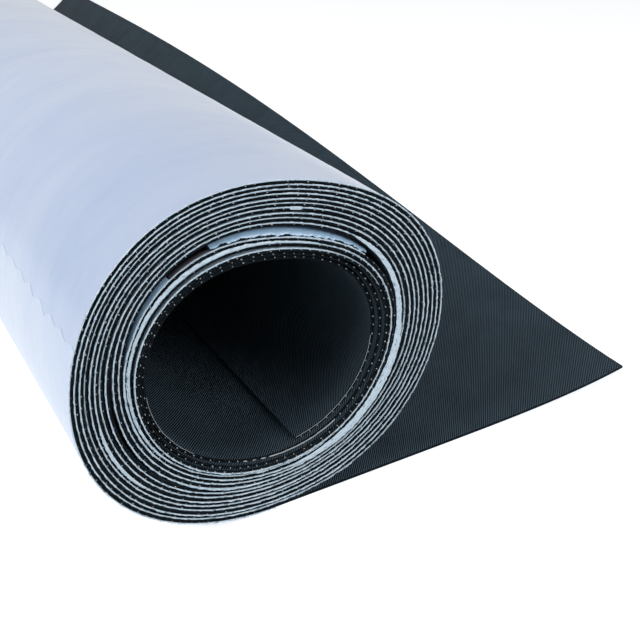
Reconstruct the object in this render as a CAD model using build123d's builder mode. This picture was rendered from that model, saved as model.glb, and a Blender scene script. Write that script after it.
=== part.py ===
"""Roll of self-adhesive rubber roofing membrane with its outer end unrolled as a tail on the floor.

Millimetres, +Z up. The roll lies on its side with its axis along Y, its near end at the front (-Y)
and its tail reaching to +X. The origin is under the middle of the whole thing, on the floor.
"""
from build123d import *
from math import asin, degrees, exp, radians, sin
import os

# The sheet, and the peel-off film on its sticky side
sheet_width = 1200.0
sheet_thickness = 1.7
film_thickness = 0.1
film_clearance = 0.3

# The winding: turn 0 is the outermost, and each turn takes the sheet, its film and the air between.
# The roll has sagged, so it is wider than high: its turns lie closer above and below the bore than
# beside it. One turn inside the winding sits loose, with a gap outside it.
bore_radius = 57.15
turn_count = 15
air_beside_bore = 1.15
air_above_bore = 0.55
loose_turn = 10
loose_gap = 1.6
loose_gap_depth = 14.0

# The turns aren't flush: every second one stands back, and the innermost ones slid along the bore
turn_stagger = 0.6
slid_turns = 4
slide_per_turn = 1.5

# The tail: how far it reaches past the roll's lowest line, how much of that lies flat, and how high
# the rest curls up off the floor: little at the near end, more towards the far end, where its
# height settles over the rise length
tail_reach = 264.0
flat_run = 80.0
near_lift = 8.5
far_lift = 85.0
rise_length = 460.0
rise_power = 1.5
tail_sections = 11

# The film is in two lengths. The outer one, which goes on under the tail, laps over the inner one
# high on the side away from the tail, and its end there is saw-toothed by the film cutter. Past the
# lap it steps down onto the sheet.
splice_angle = 160.0
splice_lap = 15.0
step_run = 8.0
tooth_pitch = 30.0
tooth_depth = 5.0

# What those sizes come to
layer_thickness = sheet_thickness + film_thickness
pitch_beside = layer_thickness + air_beside_bore
pitch_above = layer_thickness + air_above_bore
whole_clearance = film_clearance + film_thickness
lap_clearance = whole_clearance + film_clearance
tail_underside = whole_clearance
tail_top = tail_underside + sheet_thickness


def turn_outline(turn):
    """Half the width and half the height of a turn's outside, counted inwards from 0.

    The loose gap lies outside `loose_turn`.
    """
    gap = loose_gap if turn < loose_turn else 0.0
    turns_inside = turn_count - turn
    half_width = bore_radius + turns_inside * pitch_beside + gap
    half_height = bore_radius + turns_inside * pitch_above + gap
    return half_width, half_height


def turn_inset(turn):
    """How far a turn's near edge stands back from the roll's near end."""
    slid = max(0, turn - (turn_count - 1 - slid_turns))
    return turn_stagger * (turn % 2) + slide_per_turn * slid


roll_half_width, roll_half_height = turn_outline(0)
whole_width = sheet_width + max(turn_inset(turn) for turn in range(turn_count))

# Where the roll lies: the origin is under the middle of the roll and its tail together
axis_x = (roll_half_width + whole_clearance - tail_reach) / 2
axis_z = roll_half_height + whole_clearance
near_y = -whole_width / 2


def side_plane(station):
    """Upright plane across the roll, at a distance from the near end, with its origin under the axis."""
    return Plane(origin=(axis_x, near_y + station, 0), x_dir=(1, 0, 0), z_dir=(0, -1, 0))


def flat_section(height, thickness):
    """Section of the part of a layer of the tail that lies flat."""
    with BuildSketch(side_plane(0)) as section:
        with Locations((0, height)):
            Rectangle(flat_run, thickness, align=(Align.MIN, Align.MIN))
    return section.sketch


def layer_arc(clearance, start, end):
    """Part of an oval round the roll, clear of it all the way round, between two angles from +X."""
    half_width = roll_half_width + clearance
    half_height = roll_half_height + clearance
    return EllipticalCenterArc((0, axis_z), half_width, half_height, start, arc_size=end - start)


def tail_lift(station):
    """Height of the tail's cut end off the floor, at a distance from the near end."""
    return near_lift + (far_lift - near_lift) * (1 - exp(-((station / rise_length) ** rise_power)))


def curl_section(station, height, thickness):
    """Section of a layer of the tail past its flat run: an arc that leaves the flat part without a kink."""
    lift = tail_lift(station)
    curl_run = tail_reach - flat_run
    curl_radius = (curl_run**2 + lift**2) / (2 * lift)
    curl_angle = degrees(asin(curl_run / curl_radius))
    with BuildSketch(side_plane(station)) as section:
        with BuildLine():
            start = (flat_run, height)
            JernArc(start=start, tangent=(1, 0), radius=curl_radius - height, arc_size=curl_angle)
            offset(amount=thickness, side=Side.LEFT)
        make_face()
    return section.sketch


# The sheet bends without stretching, so each layer of the curl is ruled from station to station
tail_stations = [sheet_width * step / (tail_sections - 1) for step in range(tail_sections)]

# The membrane: the wound turns as one solid round the bore, and the tail that leaves it along the
# floor. Every turn has the sheet's full width, so one that stands back at the near end stands out by
# as much at the far end.
with BuildPart() as membrane:
    for turn in range(turn_count):
        with BuildSketch(side_plane(turn_inset(turn))):
            with Locations((0, axis_z)):
                Ellipse(*turn_outline(turn))
                if turn + 1 < turn_count:
                    Ellipse(*turn_outline(turn + 1), mode=Mode.SUBTRACT)
                else:
                    Circle(bore_radius, mode=Mode.SUBTRACT)
        extrude(amount=sheet_width, dir=(0, 1, 0))
    loose_width, loose_height = turn_outline(loose_turn)
    for edge, inward in ((0, 1), (sheet_width, -1)):
        gap_floor = edge + turn_inset(loose_turn) + inward * loose_gap_depth
        with BuildSketch(side_plane(gap_floor)):
            with Locations((0, axis_z)):
                Ellipse(loose_width + loose_gap, loose_height + loose_gap)
                Ellipse(loose_width, loose_height, mode=Mode.SUBTRACT)
        open_depth = loose_gap_depth + turn_stagger
        extrude(amount=open_depth, dir=(0, -inward, 0), mode=Mode.SUBTRACT)
    add(flat_section(tail_underside, sheet_thickness))
    extrude(amount=sheet_width, dir=(0, 1, 0))
    for station in tail_stations:
        add(curl_section(station, tail_underside, sheet_thickness))
    loft(ruled=True)

# The inner length of film: round the outermost turn, from just above the tail to under the splice
with BuildPart() as release_film:
    nip_depth = axis_z - tail_top - film_clearance
    film_start = -degrees(asin(nip_depth / (roll_half_height + whole_clearance)))
    film_end = splice_angle + degrees(splice_lap / roll_half_width)
    with BuildSketch(side_plane(0)):
        with BuildLine():
            inside = layer_arc(film_clearance, film_start, film_end)
            outside = layer_arc(whole_clearance, film_start, film_end)
            Line(inside @ 0, outside @ 0)
            Line(inside @ 1, outside @ 1)
        make_face()
    extrude(amount=sheet_width, dir=(0, 1, 0))

# The outer length: from the saw-toothed splice down the side, under the roll and along the tail
with BuildPart() as tail_film:
    lap_end = film_end + degrees(step_run / 2 / roll_half_width)
    wrap_start = film_end + degrees(step_run / roll_half_width)
    with BuildSketch(side_plane(0)):
        with BuildLine():
            lap_inside = layer_arc(lap_clearance, splice_angle, lap_end)
            wrap_inside = layer_arc(film_clearance, wrap_start, 270)
            lap_outside = layer_arc(lap_clearance + film_thickness, splice_angle, lap_end)
            wrap_outside = layer_arc(whole_clearance, wrap_start, 270)
            Line(lap_inside @ 1, wrap_inside @ 0)
            Line(lap_outside @ 1, wrap_outside @ 0)
            Line(lap_inside @ 0, lap_outside @ 0)
            Line(wrap_inside @ 1, wrap_outside @ 1)
        make_face()
    add(flat_section(0, film_thickness))
    extrude(amount=sheet_width, dir=(0, 1, 0))
    for station in tail_stations:
        add(curl_section(station, 0, film_thickness))
    loft(ruled=True)
    with BuildSketch(Plane.YZ):
        tip_z = axis_z + (roll_half_height + lap_clearance) * sin(radians(splice_angle))
        tooth_count = round(sheet_width / tooth_pitch)
        tooth_width = sheet_width / tooth_count
        with BuildLine():
            saw_line = [(near_y, tip_z + tooth_depth)]
            for tooth in range(tooth_count):
                saw_line += [(near_y + tooth * tooth_width, tip_z)]
                saw_line += [(near_y + (tooth + 0.5) * tooth_width, tip_z - tooth_depth)]
            saw_line += [(near_y + sheet_width, tip_z), (near_y + sheet_width, tip_z + tooth_depth)]
            Polyline(saw_line, close=True)
        make_face()
    extrude(amount=whole_width, both=True, mode=Mode.SUBTRACT)

membrane.part.label = "membrane"
release_film.part.label = "release_film"
tail_film.part.label = "tail_film"

os.makedirs("parts", exist_ok=True)
export_step(membrane.part, "parts/membrane.step")
export_step(release_film.part, "parts/release_film.step")
export_step(tail_film.part, "parts/tail_film.step")
print("roll half width and height", round(roll_half_width, 3), round(roll_half_height, 3))
print("axis", round(axis_x, 3), round(axis_z, 3), "near end", near_y)
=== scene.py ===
# %% [markdown]
# This lesson dresses a roll of rubber roofing membrane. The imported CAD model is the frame: it says
# where the roll lies and how big it is. Everything here is placed in that same frame, so the first
# step loads it and keeps its box, which the finished roll may not leave. The frame is in metres and
# the sizes below are in millimetres.

# %% Load the frame
from math import pi, radians
import bpy
import numpy as np
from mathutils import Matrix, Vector


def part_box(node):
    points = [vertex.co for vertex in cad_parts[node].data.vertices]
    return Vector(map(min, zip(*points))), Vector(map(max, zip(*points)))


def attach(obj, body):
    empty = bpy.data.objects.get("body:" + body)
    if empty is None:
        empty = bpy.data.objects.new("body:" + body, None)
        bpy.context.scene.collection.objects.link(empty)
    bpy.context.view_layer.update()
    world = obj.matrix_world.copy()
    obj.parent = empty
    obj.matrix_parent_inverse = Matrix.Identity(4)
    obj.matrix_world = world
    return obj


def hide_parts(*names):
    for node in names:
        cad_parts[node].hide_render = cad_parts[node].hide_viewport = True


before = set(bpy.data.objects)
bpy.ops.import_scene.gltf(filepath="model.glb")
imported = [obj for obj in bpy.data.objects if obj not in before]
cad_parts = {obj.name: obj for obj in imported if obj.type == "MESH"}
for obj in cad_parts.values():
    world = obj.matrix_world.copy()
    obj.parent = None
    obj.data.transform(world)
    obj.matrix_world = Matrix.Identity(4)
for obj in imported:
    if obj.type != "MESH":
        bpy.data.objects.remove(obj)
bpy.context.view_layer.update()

mm = 0.001
roll_low, roll_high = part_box("membrane")
print("membrane from", roll_low, "to", roll_high)

# %% [markdown]
# A roll of sheet isn't a stack of rings. It is one long sheet on a spiral. One way to draw it is to
# turn a profile round the axis, which gives closed rings. Another is to bend a flat strip with a
# curve modifier. Here the spiral is written as a formula for the sheet's place, because then the
# rubber, its film, the film's torn edges and the threads can all ask the same formula where they are.

# %% Sizes of the sheet and the roll, in millimetres
sheet_width = 1200.0
sheet_thickness = 1.7
film_thickness = 0.1
roll_half_width = 103.0
turn_count = 14.96
tail_reach = 264.0
film_standoff = 0.1
floor_gap = 0.3
axis_x = roll_low[0] / mm + roll_half_width
near_y = roll_low[1] / mm
print("axis at x", round(axis_x, 2), "near end at y", round(near_y, 2))

# %% [markdown]
# The roll has sagged: it is wider than it is high, and not evenly so. The outline, the sixth turn
# in, the last turn that is wound tight and the turn round the bore each have a shape of their own,
# and the turns between them change evenly from one to the next. Each shape is a circle with a few
# waves on it.


# %% Shapes of the turns
def wavy_round(angle, radius, waves):
    """Radius of an outline. Each wave gives its number of crests, its height and one crest's angle."""
    for crests, height, crest in waves:
        radius = radius + height * np.cos(crests * (angle - radians(crest)))
    return radius


def outer_turn(angle):
    """Radius of the outermost turn."""
    return wavy_round(angle, 99.3, [(1, 1.0, 179), (2, 4.95, -2), (3, 1.2, 3), (4, 1.0, 32)])


def middle_turn(angle):
    """Radius of the sixth turn in."""
    return wavy_round(angle, 83.9, [(1, 3.0, 149), (2, 4.1, -4), (3, 1.0, 12), (4, 0.6, 33)])


def packed_turn(angle):
    """Radius of the last turn that is wound tight."""
    return wavy_round(angle, 73.4, [(1, 3.4, 153), (2, 3.2, -11), (3, 0.9, 18), (4, 0.7, 31)])


def bore_turn(angle):
    """Radius of the turn round the bore."""
    return wavy_round(angle, 60.1, [(1, 3.8, -140), (2, 4.1, -10), (3, 0.9, 34), (4, 0.3, 34)])


def bump(place, start, end, height):
    """A hump between two places."""
    share = np.clip((place - start) / (end - start), 0, 1)
    return height * np.sin(pi * share)


def turn_angle(turn):
    """Angle of a place on the spiral. Turn 0 is where the tail leaves, at the lowest line."""
    return radians(lowest_angle) - 2 * pi * turn


def turn_at(whole, degrees_round):
    """The place on the spiral of an angle in a whole turn."""
    return whole + (lowest_angle - degrees_round) % 360 / 360


middle_turns = 6
packed_turns = 10
loose_gap = 4.5
narrow_gap = 1.1
narrow_gap_turn = 8
loose_bulge = 1.1
outer_standoff = 1.0


def sheet_radius(turn):
    """Radius of the sheet's film side, a number of turns in from where the tail leaves.

    A wide gap opens at the top outside the loose turn, and a narrow one at the left further out.
    The loose turn bulges a little into its gap, and the outermost turn stands off at the right.
    """
    angle = turn_angle(turn)
    degrees_round = np.degrees(angle) % 360
    outer, middle, packed = outer_turn(angle), middle_turn(angle), packed_turn(angle)
    slack = outer + (middle - outer) * turn / middle_turns
    tight = middle + (packed - middle) * (turn - middle_turns) / (packed_turns - middle_turns)
    inward = np.clip((turn - packed_turns) / (turn_count - packed_turns), 0, 1)
    wide = bump(degrees_round, 8, 168, loose_gap)
    loose = packed + (bore_turn(angle) - packed) * inward - wide * (1 - inward)
    loose = loose + np.where(turn < packed_turns + 1, bump(degrees_round, 95, 155, loose_bulge), 0)
    narrow = np.where(turn >= narrow_gap_turn, bump(degrees_round, 150, 250, narrow_gap), 0)
    standing_off = np.where(turn < 1, bump(degrees_round, 275, 345, outer_standoff), 0)
    wound = np.where(turn < middle_turns, slack, np.where(turn < packed_turns, tight, loose))
    return wound - narrow * (1 - inward) + standing_off


round_angles = np.radians(np.arange(240, 300, 0.25))
drops = outer_turn(round_angles) * np.sin(round_angles)
lowest_angle = float(np.degrees(round_angles[np.argmin(drops)]))
axis_z = floor_gap - float(np.min(drops))
print("lowest at", lowest_angle, "degrees, axis at z", round(axis_z, 2))

# %% [markdown]
# The sheet's line is a list of places along the spiral, from its inner end out to the tail's cut
# end. Steps along the spiral are even in angle, and the tail has its own steps. The tail lies flat
# and then curls up, little at the near end and more and more towards the far end.

# %% The sheet's line
curl_start = 80.0
near_lift = 8.0
further_lift = 76.5
rise_length = 460.0
rise_power = 1.5


def tail_lift(along_axis):
    """Height of the tail's cut end off the floor, a distance behind the near end."""
    risen = 1 - np.exp(-((np.maximum(along_axis, 0) / rise_length) ** rise_power))
    return near_lift + further_lift * risen


def slide(turn):
    """How far the sheet's near edge stands back from the roll's near end.

    It wavers a little from turn to turn, and the innermost turns have slid inwards.
    """
    waver = 0.3 * np.sin(2 * pi * turn * 0.37) + 0.2 * np.sin(2 * pi * turn * 1.3)
    slid = np.interp(turn, [11.4, 12.4, 13.4, 14.4, turn_count], [0, -1.2, 1.3, 2.4, 5.5])
    return 0.35 * np.minimum(turn, 1) - 0.2 + waver + slid


def sheet_line(turns, reach, across):
    """Places on the sheet's film side, as x, y and z for each step along and each distance across.

    `turns` are the wound steps, falling to 0, one for each step or one for each place, and `reach`
    the steps of the tail past there.
    """
    turns = np.asarray(turns, dtype=float)
    turns = turns[:, None] + 0 * across if turns.ndim == 1 else turns
    reach = reach[:, None] + 0 * across
    angle = turn_angle(turns)
    radius = sheet_radius(turns)
    start_x = axis_x + float(sheet_radius(np.array(0.0)) * np.cos(turn_angle(0.0)))
    x = np.concatenate([axis_x + radius * np.cos(angle), start_x + reach])
    y = near_y + across + np.concatenate([slide(turns), 0 * reach + slide(0.0)])
    share = np.clip((start_x + reach - axis_x - curl_start) / (tail_reach - curl_start), 0, None)
    steepness = 2.1 + 1.7 * np.exp(-across / 120.0)
    z = np.concatenate([axis_z + radius * np.sin(angle), floor_gap + tail_lift(across) * share**steepness])
    return np.stack([x, y, z], axis=-1)


def run_lengths(line):
    """Distance along the sheet of each step, measured at the near edge."""
    steps = np.linalg.norm(np.diff(line[:, 0], axis=0), axis=-1)
    return np.concatenate([[0], np.cumsum(steps)])


def towards_black(line):
    """Unit direction from the film side to the black side at each place of a line."""
    ahead = np.gradient(line, axis=0)
    across = np.stack([-ahead[..., 2], 0 * ahead[..., 1], ahead[..., 0]], axis=-1)
    return across / np.linalg.norm(across, axis=-1, keepdims=True)


# %% [markdown]
# Rubber, film and edges are all long closed strips: a ring of points carried along the sheet. One
# function joins such rings into a mesh, closes its ends with a ladder of faces, and lays the sheet
# flat in a UV map whose units are metres, so that a pattern in a material can have a real pitch on
# the bent sheet.


# %% A closed strip along the sheet
def strip_faces(steps, ring, first=0):
    """Corner lists of the four-sided faces between the rings of a strip, and its two ends."""
    here = np.arange(steps - 1)[:, None] * ring + np.arange(ring)[None, :]
    beside = np.arange(steps - 1)[:, None] * ring + np.roll(np.arange(ring), -1)[None, :]
    sides = np.stack([here, beside, beside + ring, here + ring], axis=-1).reshape(-1, 4) + first
    ladder = []
    for rung in range((ring - 1) // 2):
        corners = [rung, rung + 1, ring - 2 - rung, ring - 1 - rung]
        ladder.append(corners[:2] + corners[3:] if corners[1] == corners[2] else corners)
    last = first + (steps - 1) * ring
    ends = [[first + corner for corner in corners[::-1]] for corners in ladder]
    ends += [[last + corner for corner in corners] for corners in ladder]
    return sides, ends


def make_strips(name, strips, material, edge_material=None):
    """Makes one piece of several strips, each given as (points, flat) with one row for each ring.

    Faces that look along the roll get the edge material, if there is one.
    """
    points, flat, faces = [], [], []
    first = 0
    for strip_points, strip_flat in strips:
        steps, ring = strip_points.shape[:2]
        sides, ends = strip_faces(steps, ring, first)
        faces += sides.tolist() + ends
        points.append(strip_points.reshape(-1, 3))
        flat.append(strip_flat.reshape(-1, 2))
        first += steps * ring
    mesh = bpy.data.meshes.new(name)
    mesh.from_pydata((np.concatenate(points) * mm).tolist(), [], faces)
    corners = np.empty(len(mesh.loops), dtype=np.int32)
    mesh.loops.foreach_get("vertex_index", corners)
    layout = mesh.uv_layers.new(name="flat")
    layout.uv.foreach_set("vector", (np.concatenate(flat) * mm)[corners].astype(np.float32).ravel())
    mesh.polygons.foreach_set("use_smooth", np.ones(len(mesh.polygons), dtype=bool))
    mesh.set_sharp_from_angle(angle=radians(50))
    mesh.materials.append(material)
    if edge_material:
        mesh.materials.append(edge_material)
        facing = np.empty(3 * len(mesh.polygons), dtype=np.float32)
        mesh.polygons.foreach_get("normal", facing)
        mesh.polygons.foreach_set("material_index", (np.abs(facing[1::3]) > 0.7).astype(np.int32))
    piece = bpy.data.objects.new(name, mesh)
    bpy.context.collection.objects.link(piece)
    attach(piece, "root")
    print(name, "triangles", sum(len(face) - 2 for face in faces))
    return piece


# %% [markdown]
# Wrinkles, torn edges and wavering lines need chance, but the same chance each time. A smooth
# wandering value is made from a few random numbers with a fixed seed, joined by a soft curve.


# %% Wandering values
def wander(place, wavelength, seed):
    """A smooth value between about -1 and 1 that changes over a wavelength."""
    place = np.asarray(place) / wavelength
    lowest = np.floor(place.min())
    knots = np.random.default_rng(seed).uniform(-1, 1, int(place.max() - lowest) + 3)
    index = (np.floor(place) - lowest).astype(int)
    share = place - np.floor(place)
    share = share * share * (3 - 2 * share)
    return knots[index] * (1 - share) + knots[index + 1] * share


def ripples(along, across, longest, shortest, count, seed, slant):
    """Crossing waves over a surface. `slant` is how much longer the waves are along the sheet."""
    chance = np.random.default_rng(seed)
    height = 0
    for _ in range(count):
        wavelength = shortest * (longest / shortest) ** chance.random()
        heading = chance.uniform(0, 2 * pi)
        phase = 2 * pi / wavelength * (along * np.cos(heading) / slant + across * np.sin(heading))
        height = height + np.sin(phase + chance.uniform(0, 2 * pi)) * (wavelength / longest) ** 0.5
    return height / count**0.5


# %% [markdown]
# Colours are written as sRGB hex, the way a colour picker shows them, and Blender's sockets want
# linear light, so one function turns one into the other. Another small one adds a node, sets its
# values and links its inputs, and every material below is made with those two.


# %% Colours and nodes
def colour(code):
    """Linear colour from an sRGB hex code."""
    parts = [int(code[place : place + 2], 16) / 255 for place in (1, 3, 5)]
    return [part / 12.92 if part <= 0.04045 else ((part + 0.055) / 1.055) ** 2.4 for part in parts] + [1.0]


def new_material(name):
    """A material with an empty node tree but for its output."""
    material = bpy.data.materials.new(name)
    material.use_nodes = True
    material.node_tree.nodes.clear()
    return material, material.node_tree


def node(tree, kind, settings=None, **inputs):
    """Adds a node. An input is a value or another node's output; underscores stand for spaces."""
    made = tree.nodes.new("ShaderNode" + kind)
    for setting, value in (settings or {}).items():
        setattr(made, setting, value)
    for name, value in inputs.items():
        key = int(name[1:]) if name[0] == "_" else name.replace("_", " ")
        if isinstance(value, bpy.types.NodeSocket):
            tree.links.new(value, made.inputs[key])
        else:
            made.inputs[key].default_value = value
    return made


def flat_place(tree):
    """Place on the flat sheet, in millimetres."""
    flat_map = node(tree, "UVMap", {"uv_map": "flat"}).outputs[0]
    return node(tree, "VectorMath", {"operation": "SCALE"}, _0=flat_map, Scale=1000.0).outputs[0]


def blend_colours(tree, share, first, second, how="MIX"):
    """A colour mixed from two by a share, which may each be a value or another node's output."""
    mix = node(tree, "Mix", {"data_type": "RGBA", "blend_type": how}, _0=share, _6=first, _7=second)
    return mix.outputs[2]


# %% [markdown]
# The black side is EPDM rubber sheet, rolled against a ribbed cloth while it was soft. That leaves
# fine slanting ribs, a little over a millimetre apart, and a dull sheen. Ribs that small could be
# modelled only with millions of faces, so they are bump, and their crests are also painted lighter
# and their troughs darker, as painted highlight and painted shade. The sheet's flat UV map keeps
# them at one pitch round the bore and along the tail.

# %% EPDM rubber, cloth-ribbed and dull
rib_pitch = 1.15
rib_slant = 40.0


def new_rubber(name, dark, light, painted_rib_contrast, rib_depth, gloss, flecks):
    """Dull rubber. Pores and dust swallow most of its sheen, so its specular level is low."""
    material, tree = new_material(name)
    flat_mm = flat_place(tree)
    slanted = node(tree, "Mapping", Vector=flat_mm, Rotation=(0, 0, radians(rib_slant))).outputs[0]
    rib_wave = {"Scale": pi / 10 / rib_pitch, "Distortion": 0.4, "Detail": 1.0}
    ribs = node(tree, "TexWave", Vector=slanted, **rib_wave).outputs[1]
    mottle = node(tree, "TexNoise", Vector=flat_mm, Scale=0.03, Detail=4.0, Roughness=0.6).outputs[0]
    specks = node(tree, "TexNoise", Vector=flat_mm, Scale=0.9, Detail=3.0).outputs[0]
    tone = blend_colours(tree, mottle, colour(dark), colour(light))
    # Painted highlight and painted shade: the base colour is lightened on the rib crests and darkened in the
    # troughs.
    crests = node(tree, "Math", {"operation": "POWER"}, _0=ribs, _1=1.6).outputs[0]
    darkest, lightest = 1 - painted_rib_contrast, 1 + 1.6 * painted_rib_contrast
    shade = node(tree, "MapRange", Value=crests, To_Min=darkest, To_Max=lightest).outputs[0]
    rib_lit_and_shaded_tone = node(tree, "VectorMath", {"operation": "SCALE"}, _0=tone, Scale=shade).outputs[0]
    fibres = node(tree, "TexNoise", Vector=flat_mm, Scale=1.7, Detail=2.0).outputs[0]
    fibre_share = node(tree, "MapRange", Value=fibres, From_Min=0.58, From_Max=0.72, To_Max=flecks).outputs[0]
    fleck_tone = blend_colours(tree, fibre_share, rib_lit_and_shaded_tone, colour("#69767d"))
    dullness = node(tree, "MapRange", Value=specks, To_Min=0.55, To_Max=0.75).outputs[0]
    relief = node(tree, "Bump", Height=ribs, Strength=0.9, Distance=rib_depth).outputs[0]
    looks = {"Base_Color": fleck_tone, "Roughness": dullness, "IOR": 1.52, "Specular_IOR_Level": gloss}
    surface = node(tree, "BsdfPrincipled", Normal=relief, **looks)
    node(tree, "OutputMaterial", Surface=surface.outputs[0])
    print("material", name)
    return material


rubber = new_rubber("epdm_rubber_cloth_ribbed", "#28333b", "#404f59", 0.95, 0.0006, 0.07, 0.0)
# The cut edges get a much darker copy of the rubber: partly the cut rubber's own black and partly painted
# shade, so that these lit faces read near black.
cut_rubber = new_rubber("epdm_rubber_cut_black_and_painted_dark", "#080d11", "#10171c", 0.1, 0.00005, 0.03, 0.5)

# %% [markdown]
# The peel-off film is thin milky polyethylene with a silicone coating. It is pale blue, half glossy
# and clings to the sticky side, so it shows soft clouds where it touches and fine crow's-feet
# where it doesn't. Its wrinkles run mostly round the roll, along the pull of the winding. The
# coating gives the streak of light along the roll's side. The outer length is a little paler.


# %% Polyethylene film, milky pale blue
def new_film(name, dark, light):
    """Milky coated film with clouds and fine creases."""
    material, tree = new_material(name)
    flat_mm = flat_place(tree)
    stretched = node(tree, "Mapping", Vector=flat_mm, Scale=(0.3, 1.0, 1.0)).outputs[0]
    clouds = node(tree, "TexNoise", Vector=stretched, Scale=0.016, Detail=5.0, Roughness=0.6).outputs[0]
    cloud_share = node(tree, "MapRange", Value=clouds, From_Min=0.3, From_Max=0.7).outputs[0]
    fine = {"Scale": 0.11, "Detail": 5.0, "Roughness": 0.55, "Distortion": 0.6}
    creases = node(tree, "TexNoise", Vector=stretched, **fine).outputs[0]
    tone = blend_colours(tree, cloud_share, colour(dark), colour(light))
    along_roll = node(tree, "SeparateXYZ", Vector=flat_mm).outputs[1]
    # The film turns greyer towards the roll's far end.
    far_grey_share = node(tree, "MapRange", Value=along_roll, From_Min=250.0, From_Max=1100.0, To_Max=0.75).outputs[0]
    tone = blend_colours(tree, far_grey_share, tone, colour("#b3b8bf"))
    glaze = node(tree, "MapRange", Value=creases, To_Min=0.24, To_Max=0.42).outputs[0]
    relief = node(tree, "Bump", Height=creases, Strength=0.4, Distance=0.0012).outputs[0]
    coat = {"Coat_Weight": 0.35, "Coat_Roughness": 0.12}
    looks = {"Base_Color": tone, "Roughness": glaze, "IOR": 1.51}
    surface = node(tree, "BsdfPrincipled", Normal=relief, **looks, **coat)
    node(tree, "OutputMaterial", Surface=surface.outputs[0])
    print("material", name)
    return material


film = new_film("polyethylene_film_milky_blue", "#a7badb", "#bdcae2")
outer_film = new_film("polyethylene_film_outer_length", "#b3c6e3", "#c9d4e6")
# The film in the gap is the same film with a bluer, partly paler copy of its colour: painted light against
# the gap's shade.
edge_film = new_film("polyethylene_film_in_the_gap_painted_light", "#93b8d8", "#bcd6ee")

# %% [markdown]
# Where the film was slit with the sheet its edge is stretched, torn and rolled into small nodules,
# which scatter light and look nearly white.

# %% Torn film edge
torn_film, tree = new_material("polyethylene_film_torn_edge")
flat_mm = flat_place(tree)
stretched = node(tree, "Mapping", Vector=flat_mm, Scale=(0.35, 1.0, 1.0)).outputs[0]
patches = node(tree, "TexNoise", Vector=stretched, Scale=0.9, Detail=3.0, Roughness=0.6).outputs[0]
tone = blend_colours(tree, patches, colour("#8fb6d2"), colour("#f2fbff"))
streak_share = node(tree, "MapRange", Value=patches, From_Min=0.4, From_Max=0.34, To_Max=0.8).outputs[0]
tone = blend_colours(tree, streak_share, tone, colour("#2c3c47"))
relief = node(tree, "Bump", Height=patches, Strength=0.5, Distance=0.0004).outputs[0]
surface = node(tree, "BsdfPrincipled", Base_Color=tone, Roughness=0.38, IOR=1.51, Normal=relief)
node(tree, "OutputMaterial", Surface=surface.outputs[0])
print("material", torn_film.name)

# %% [markdown]
# Where film is torn off, the sticky side shows: grey butyl, painted darker further into the gap as painted
# shade.

# %% Sticky side
sticky_grey, tree = new_material("butyl_adhesive_grey")
flat_mm = flat_place(tree)
streaks = node(tree, "TexNoise", Vector=flat_mm, Scale=0.5, Detail=3.0).outputs[0]
tone = blend_colours(tree, streaks, colour("#7d7984"), colour("#a39ea8"))
depth_in = node(tree, "SeparateXYZ", Vector=flat_mm).outputs[1]
# Painted shade: the colour darkens to near black from 0.5 to 4.5 mm into the gap.
painted_gap_shade = node(tree, "MapRange", Value=depth_in, From_Min=0.5, From_Max=4.5).outputs[0]
tone = blend_colours(tree, painted_gap_shade, tone, colour("#0a0a0c"))
surface = node(tree, "BsdfPrincipled", Base_Color=tone, Roughness=0.35, IOR=1.5)
node(tree, "OutputMaterial", Surface=surface.outputs[0])
print("material", sticky_grey.name)

# %% [markdown]
# The scrim is polyester thread. Its cut fibres scatter light, so its ends read as off-white dots.

# %% Polyester thread
thread_white, tree = new_material("polyester_thread_cut")
flat_mm = flat_place(tree)
fibres = node(tree, "TexNoise", Vector=flat_mm, Scale=3.0, Detail=2.0).outputs[0]
tone = blend_colours(tree, fibres, colour("#8b969c"), colour("#dfe5e8"))
relief = node(tree, "Bump", Height=fibres, Strength=0.4, Distance=0.0001).outputs[0]
surface = node(tree, "BsdfPrincipled", Base_Color=tone, Roughness=0.6, IOR=1.57, Normal=relief)
node(tree, "OutputMaterial", Surface=surface.outputs[0])
print("material", thread_white.name)

# %% [markdown]
# The rubber sheet is one strip: its ring goes across the film side, round the far cut edge, back
# across the black side and round the near cut edge. The cut edges get a small worn corner.

# %% The rubber sheet
corner = 0.2
steps_per_turn = 72
sheet_turns = np.linspace(turn_count, 0, int(turn_count * steps_per_turn) + 1)
tail_steps = np.linspace(0, tail_reach - 1.0, 62)
near_stations = [15, 35, 60, 90, 120, 160, 200, 250, 300, 360]
stations = np.array([corner, *near_stations, *range(420, 1200, 60), sheet_width - corner])
across = np.concatenate([stations, [sheet_width, sheet_width], stations[::-1], [0, 0]])
back = np.full(len(stations), sheet_thickness)
corners_in = [corner, sheet_thickness - corner]
depth = np.concatenate([0 * stations, corners_in, back, corners_in[::-1]])
line = sheet_line(sheet_turns, tail_steps[1:], across)
points = line + towards_black(line) * depth[:, None]
lengths = run_lengths(line)
flat = np.stack([lengths[:, None] + 0 * across, across + 0 * lengths[:, None]], axis=-1)
membrane = make_strips("membrane_sheet", [(points, flat)], rubber, cut_rubber)
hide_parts("membrane")
print("sheet length", round(float(lengths[-1])), "mm")

# %% [markdown]
# The film skins lie just outside the rubber. The inner length comes up out of the nip, goes over
# the top and ends under the splice. The outer length starts at the saw-toothed cut high on the left,
# laps over the inner one, and goes down under the roll and along the tail. Its teeth are the
# cutter's, and no two are quite alike.

# %% The film skins
splice_turn = turn_at(0, 160.5)
splice_lap = 15.0
mean_radius = 100.0
turns_per_mm = 1 / (2 * pi * mean_radius)
lap_turn = splice_turn - splice_lap * turns_per_mm
fine_stations, middling_stations = np.arange(0, 160, 3.0), np.arange(160, 420, 7.0)
coarse_stations = np.arange(420, 1200, 14.0)
over_stations = np.concatenate([fine_stations, middling_stations, coarse_stations, [sheet_width]])
under_stations = np.linspace(0, sheet_width, 301)
back_stations = np.array([1200.0, 900.0, 600.0, 300.0, 0.0])
wave_rise = 0.14
wave_height = 0.11
free_height = 12.0


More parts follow.
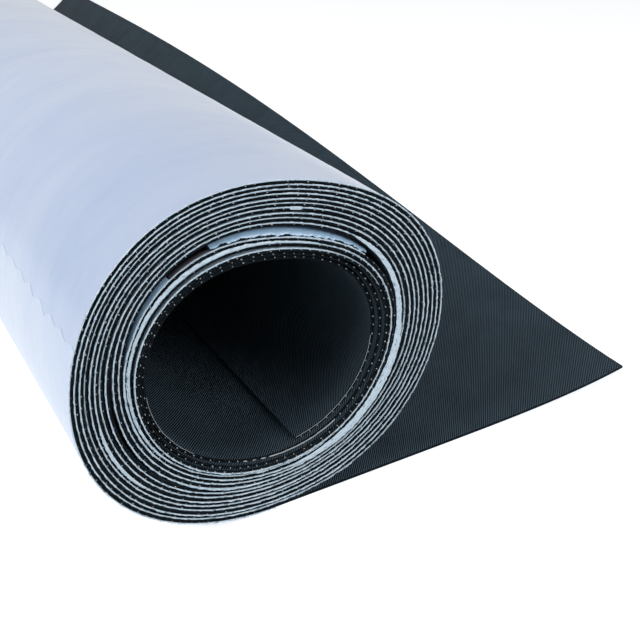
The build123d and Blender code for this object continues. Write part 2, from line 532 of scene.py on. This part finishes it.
def film_strip(turns, outside_stations, inside_stations, lap, seed):
    """Points and flat layout of a length of film. `lap` lifts it, step by step, over another."""
    across = np.concatenate([outside_stations, inside_stations])
    line = sheet_line(turns, np.array([]), across)
    lengths = run_lengths(line)
    along = lengths[:, None] + 0 * across
    spread = across + 0 * along
    outside = np.arange(len(across)) < len(outside_stations)
    free = np.clip((line[..., 2] - floor_gap) / free_height, 0, 1)
    free = free * np.clip(np.abs(turns - splice_turn) / 0.05, 0, 1).reshape(len(turns), -1)
    waves = ripples(along, spread, 90, 14, 26, seed, 3.0)
    loose = free * (wave_rise + wave_height * waves)
    height = film_standoff + lap[:, None] + np.where(outside, film_thickness + loose, 0)
    points = line - towards_black(line) * height[..., None]
    return points, np.stack([along, spread], axis=-1)


over_turns = np.arange(0.985, lap_turn, -0.0028)
over_strip = film_strip(over_turns, over_stations, back_stations, 0 * over_turns, 3)
over_film = make_strips("film_over_roll", [over_strip], film)
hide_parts("release_film")

tooth_rows = 8
tooth_depth = 5.0
tooth_pitch = 16.0
under_turns = np.arange(splice_turn, 0, -0.004)
under_across = np.concatenate([under_stations, under_stations[::-1]])
tooth_place = under_across / tooth_pitch + 0.35 * wander(under_across, 37, 5)
tooth = tooth_depth * (0.75 + 0.35 * wander(under_across, 11, 6)) * np.abs(2 * (tooth_place % 1) - 1)
settle = np.clip(1 - np.arange(len(under_turns)) / tooth_rows, 0, 1)[:, None]
toothed_turns = under_turns[:, None] - turns_per_mm * tooth * settle
on_lap = np.clip((under_turns - lap_turn + 0.012) / 0.012, 0, 1)
wrap_strip = film_strip(toothed_turns, under_stations, under_stations[::-1], 0.13 * on_lap, 4)

tail_across = np.concatenate([stations, stations[::-1]])
tail_inside = 0 * stations + film_standoff
tail_height = np.concatenate([tail_inside + film_thickness, tail_inside])
tail_line = sheet_line(np.array([]), tail_steps, tail_across)
tail_points = tail_line - towards_black(tail_line) * tail_height[:, None]
tail_flat = np.stack([tail_steps[:, None] + 0 * tail_across, tail_across + 0 * tail_steps[:, None]], axis=-1)
under_film = make_strips("film_under_tail", [wrap_strip, (tail_points, tail_flat)], outer_film)
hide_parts("tail_film")

# %% [markdown]
# On the roll's ends each turn shows a black cut edge and a pale line: the film's own edge, torn and
# rolled over. It is a strip with a small ring, carried along the spiral in steps shorter than a
# nodule, and its width and how far it stands out wander from step to step. Behind it the ring goes
# on into the roll as the film itself, which shows where a gap is open. At the near end a few
# places are folded out wide, over the next turn's edge, and some of the loose turn's film is torn
# off.

# %% Film edges on both ends
edge_step = 0.8
last_film_turn = turn_at(12, 24)
skin_depth = 40.0
dense_turns = np.linspace(0, turn_count, 60000)
dense_line = sheet_line(dense_turns, np.array([]), np.array([0.0]))[:, 0]
dense_lengths = np.concatenate([[0], np.cumsum(np.linalg.norm(np.diff(dense_line, axis=0), axis=1))])


def turn_length(turn):
    """Length of sheet between where the tail leaves and a place on the spiral."""
    return np.interp(turn, dense_turns, dense_lengths)


def even_turns(start, end, step):
    """Places on the spiral, an even step of sheet apart, falling from the inner to the outer one."""
    places = np.arange(turn_length(end), turn_length(start), -step)
    return np.interp(places, dense_lengths, dense_turns)


# Start, end, and how far the edge is folded outwards and inwards
wide_places = [
    (turn_at(9, 52), turn_at(9, -80), 0.3, 2.3),
    (turn_at(9, 0), turn_at(9, -84), 2.0, 0),
    (turn_at(5, 217), turn_at(5, 185), 0.9, 0),
    (turn_at(11, 215), turn_at(11, 65), 1.0, 0),
    (turn_at(11, 155), turn_at(11, 100), 0.6, 0),
    (turn_at(10, 215), turn_at(10, 150), 0.3, 0),
    (turn_at(8, 262), turn_at(8, 225), 0.5, 0),
]
loose_start = turn_at(packed_turns, 178)
patch_start, patch_end = turn_at(6, 83.8), turn_at(6, 79.2)
torn_start, torn_end = turn_at(10, 133), turn_at(10, 116)
bare_start, bare_end = turn_at(10, 41.5), turn_at(10, -65)


def film_edge(turns, end, seed):
    """Strip of the film's edge at one end: 0 is the near end and 1 the far end."""
    line = sheet_line(turns, np.array([]), np.array([0.0]))
    lengths = run_lengths(line)
    angle = turn_angle(turns)
    sides = 0.56 + 0.03 * np.cos(angle) - 0.03 * np.sin(angle)
    width = sides * (1 + 0.26 * wander(lengths, 1.9, seed) + 0.24 * wander(lengths, 0.8, seed + 1))
    proud = 0.55 + 0.3 * wander(lengths, 3.1, seed + 2) + 0.25 * wander(lengths, 0.8, seed + 3)
    knot = np.clip(wander(lengths, 5.2, seed + 4) - 0.55, 0, 1)
    width = width * (1 + 0.5 * knot)
    proud = np.maximum(proud + 0.7 * knot, 0.15)
    skin = 0 * turns + skin_depth
    fray = np.clip((turns - turn_at(12, 70)) / (last_film_turn - turn_at(12, 70)), 0, 1)
    width = width * (1 - 0.8 * fray)
    shift = 0 * width
    if end == 0:
        for start, stop, outward, inward in wide_places:
            share = bump(turns, start, stop, 1) ** 0.5 * (1 + 0.1 * wander(lengths, 2.3, seed + 5))
            width = width + share * (outward + inward)
            shift = shift - share * inward
            proud = proud + 0.5 * np.clip(share, 0, 1)
        patched = (turns > patch_start) & (turns < patch_end)
        width = np.where(patched, 1.5, width)
        proud = np.where(patched, 0.45, proud)
        shift = np.where(patched, -0.75, shift)
        torn = (turns > torn_start) & (turns < torn_end)
        width = np.where(torn, 0.35 + 0.2 * (width - 0.7), width)
        parted = (turns > loose_start) & (turns < bare_start)
        skin = np.where(parted, 0.9, skin)
        bare = (turns > bare_start) & (turns < bare_end)
        skin = np.where(bare, 0.5, skin)
        width = np.where(bare, 0.02, width)
        proud = np.where(bare, -0.2, proud)
    sunk = np.maximum(-proud, 0)
    front_out = [0 * width - 0.15 * (proud > 0), 0.4 * width, width]
    ring_out = [0 * width - 0.02, 0 * width - 0.02] + [place + shift for place in front_out]
    ring_out += [np.minimum(width, 0.16), np.minimum(width, 0.13)]
    ring_deep = [skin, 0.2 + sunk, -0.5 * proud, -proud, -0.5 * proud, np.minimum(0.6, skin) + sunk, skin]
    out = np.stack(ring_out, axis=1)
    into = np.stack(ring_deep, axis=1)
    points = line - towards_black(line) * out[..., None]
    points[..., 1] = near_y + slide(turns)[:, None] + (into if end == 0 else sheet_width - into)
    points[..., 2] = np.maximum(points[..., 2], 0.05)
    if end == 1:
        points = points[:, ::-1]
        out, into = out[:, ::-1], into[:, ::-1]
    return points, np.stack([lengths[:, None] + 0 * out, out * 1.5 + into], axis=-1)


for end, name in ((0, "film_edge_near"), (1, "film_edge_far")):
    strip = film_edge(even_turns(0, last_film_turn, edge_step), end, 20 + 10 * end)
    edge = make_strips(name, [strip], torn_film)

# %% [markdown]
# Over the loose turn the film has parted from the rubber and rises towards the turn outside it, so
# it catches the light across the whole gap. A stretch of it is torn off and shows the grey sticky
# side. Next to that the film is torn along a ragged line just above its edge, and the dark of the
# gap shows in the dashes between.

# %% Parted film in the wide gap
depth_shares = np.array([0, 0.02, 0.05, 0.09, 0.15, 0.25, 0.45, 1.0])


def gap_band(start, stop, base, ragged, rise, run, seed):
    """A band that leans back into the gap from just behind the near edge. It starts a base height
    off the rubber, give or take `ragged`, and rises by a share of the gap over a run of depth."""
    turns = even_turns(start, stop, 0.7)
    line = sheet_line(turns, np.array([]), np.array([0.0]))
    lengths = run_lengths(line)
    opening = sheet_radius(turns - 1) - sheet_thickness - sheet_radius(turns)
    base = base + ragged * (0.6 * wander(lengths, 1.9, seed) + 0.5 * wander(lengths, 0.8, seed + 1))
    front = 0.3
    into = front + (skin_depth - front) * depth_shares + 0 * turns[:, None]
    room = np.maximum(opening - 0.4 - base, 0)
    lift = base[:, None] + rise * room[:, None] * (1 - np.exp(-(into - front) / run))
    into = np.concatenate([into, into[:, ::-1]], axis=1)
    out = np.concatenate([lift, lift[:, ::-1] - film_thickness], axis=1)
    points = line - towards_black(line) * out[..., None]
    points[..., 1] = near_y + slide(turns)[:, None] + into
    return points, np.stack([lengths[:, None] + 0 * out, into], axis=-1)


parted_film = make_strips(
    "film_parted_in_gap",
    [
        gap_band(loose_start, torn_start, 0.25, 0.05, 0.95, 3.0, 61),
        gap_band(torn_end, bare_start, 1.2, 0.9, 0.97, 2.4, 66),
    ],
    edge_film,
)
sticky_side = make_strips(
    "sticky_side_in_gap", [gap_band(torn_start, torn_end, 0.15, 0, 0, 3.0, 76)], sticky_grey
)

# %% [markdown]
# A cloth of polyester threads runs through the rubber, close under its film. Its cut ends show as
# a row of white dots along every turn's edge, about 5.5 mm apart. Near the bore one thread has
# pulled loose and lies along the edge, and the innermost edge has a fine one.

# %% Thread ends
thread_pitch = 5.5
thread_radius = 0.34


def thread_ends(end, seed):
    """Short six-sided stubs along the spiral at one end of the roll."""
    chance = np.random.default_rng(seed)
    turns = even_turns(0.02, turn_count - 0.01, thread_pitch)
    turns = turns + chance.uniform(-0.7, 0.7, len(turns)) / (2 * pi * sheet_radius(turns))
    line = sheet_line(turns, np.array([]), np.array([0.0]))
    across = towards_black(line)[:, 0]
    ahead = np.stack([across[:, 2], 0 * across[:, 1], -across[:, 0]], axis=-1)
    strips = []
    ring = np.arange(6) * pi / 3
    for place, inward, forward, turn in zip(line[:, 0], across, ahead, turns):
        covered = turn < 11.6 and chance.random() < 0.35
        radius = thread_radius * (chance.uniform(0.65, 1.0) if turn > 11.6 else chance.uniform(0.4, 0.95))
        centre = place + inward * chance.uniform(0.3, 0.7)
        edge_y = near_y + float(slide(turn)) + sheet_width * end
        outward = -1 if end == 0 else 1
        long = chance.uniform(0.9, 1.5)
        if covered:
            continue
        rows = []
        for reach, share in ((-0.6, 1.0), (0.25, 1.0), (0.45, 0.75), (0.5, 0.3)):
            across_ring = np.cos(ring)[:, None] * inward + long * np.sin(ring)[:, None] * forward
            row = centre + radius * share * across_ring
            row[:, 1] = edge_y + outward * reach * chance.uniform(0.9, 1.2)
            rows.append(row)
        points = np.array(rows)
        if end == 1:
            points = points[:, ::-1]
        strips.append((points, np.stack([points[..., 0], points[..., 2]], axis=-1)))
    return strips


def loose_thread(start, stop, inside, radius, seed):
    """A thread lying along the near edge, a distance inside the sheet's film side."""
    turns = even_turns(start, stop, 0.6)
    line = sheet_line(turns, np.array([]), np.array([0.0]))
    lengths = run_lengths(line)
    inward = towards_black(line)[:, 0]
    centre = line[:, 0] + inward * (inside + 0.12 * wander(lengths, 4.0, seed))[:, None]
    thick = radius * (1 + 0.15 * wander(lengths, 1.5, seed + 1))
    ends = np.minimum(1, np.minimum(lengths, lengths[-1] - lengths) / 0.8 + 0.2)
    ring = np.arange(6) * pi / 3
    thickness_inward = (inward * (thick * ends)[:, None])[:, None, :]
    points = centre[:, None, :] + np.cos(ring)[None, :, None] * thickness_inward
    points[..., 1] = (near_y + slide(turns) - 0.3)[:, None] + np.sin(ring) * (thick * ends)[:, None]
    return points, np.stack([lengths[:, None] + 0 * ring, ring + 0 * lengths[:, None]], axis=-1)


near_threads = thread_ends(0, 40)
# Whole turn and angle of each loose piece's start and end
loose_places = [(13, 306, 14, 266.5), (14, 265, 14, 262), (14, 259, 14, 257.3), (14, 255, 14, 252.2)]
for first, first_angle, last, last_angle in loose_places:
    start, stop = turn_at(first, first_angle), turn_at(last, last_angle)
    near_threads.append(loose_thread(start, stop, 0.5, 0.32, 70))
near_threads.append(loose_thread(turn_at(14, 224), turn_at(14, 182), 1.5, 0.1, 74))
near_threads.append(loose_thread(turn_at(14, 355), turn_count, 1.5, 0.13, 76))
for name, strips in (("thread_ends_near", near_threads), ("thread_ends_far", thread_ends(1, 41))):
    threads = make_strips(name, strips, thread_white)

# %% [markdown]
# A plain pale floor and soft light: one broad lamp above on the left, which leaves the tail beside
# the roll partly in its shade, one in front that reaches the floor of the bore, and an even world.
# What is seen past the roll is white, straight on or in a reflection, without lighting it more.


# %% Floor, lamps and world
def seen_itself(tree):
    """1 for rays that come from the camera, a reflection or through glass, and 0 for others."""
    rays = node(tree, "LightPath").outputs
    seen = rays["Is Camera Ray"]
    for kind in ("Is Glossy Ray", "Is Transmission Ray"):
        seen = node(tree, "Math", {"operation": "MAXIMUM"}, _0=seen, _1=rays[kind]).outputs[0]
    return seen


floor_mesh = bpy.data.meshes.new("floor")
floor_mesh.from_pydata([(-6, -6, 0), (6, -6, 0), (6, 6, 0), (-6, 6, 0)], [], [(0, 1, 2, 3)])
floor = bpy.data.objects.new("floor", floor_mesh)
bpy.context.collection.objects.link(floor)
floor_paint, tree = new_material("floor_white")
matt = node(tree, "BsdfDiffuse", Color=colour("#e4e6e8")).outputs[0]
glow = node(tree, "Emission", Color=(1, 1, 1, 1), Strength=0.62).outputs[0]
lit = node(tree, "AddShader", _0=matt, _1=glow).outputs[0]
paint = node(tree, "MixShader", _0=seen_itself(tree), _1=matt, _2=lit).outputs[0]
node(tree, "OutputMaterial", Surface=paint)
floor_mesh.materials.append(floor_paint)


def soft_lamp(name, place, target, size, power):
    """A square area lamp that looks at a point."""
    lamp_data = bpy.data.lights.new(name, "AREA")
    lamp_data.size = size
    lamp_data.energy = power
    lamp = bpy.data.objects.new(name, lamp_data)
    lamp.location = place
    lamp.rotation_euler = (Vector(place) - Vector(target)).to_track_quat("Z", "Y").to_euler()
    bpy.context.collection.objects.link(lamp)


soft_lamp("lamp_over", (-1.5, -0.6, 1.45), (-0.1, 0, 0.1), 1.0, 26)
soft_lamp("lamp_front", (1.1, -2.4, 1.25), (0, -0.6, 0.1), 1.2, 27)
world = bpy.data.worlds.new("even_light")
bpy.context.scene.world = world
world.use_nodes = True
tree = world.node_tree
tree.nodes.clear()
even = node(tree, "Background", Color=colour("#f2f6fb"), Strength=0.27).outputs[0]
white = node(tree, "Background", Color=(1, 1, 1, 1), Strength=1.0).outputs[0]
sky = node(tree, "MixShader", _0=seen_itself(tree), _1=even, _2=white).outputs[0]
node(tree, "OutputWorld", Surface=sky)

# %% [markdown]
# The camera stands close, above and to the left of the near end, where the photograph was taken
# from, so that the roll grows narrow towards its far end.

# %% Camera
camera_data = bpy.data.cameras.new("camera")
camera_data.sensor_width = 36
camera_data.lens = 50.62
camera_data.shift_x = 0.0043
camera_data.shift_y = -0.0066
camera = bpy.data.objects.new("camera", camera_data)
camera.location = ((axis_x - 176.51) * mm, (near_y - 337.0) * mm, (axis_z + 232.24) * mm)
camera.rotation_euler = (radians(61.31), radians(-0.517), radians(-30.434))
bpy.context.collection.objects.link(camera)
bpy.context.scene.camera = camera
bpy.context.scene.view_settings.view_transform = "Standard"
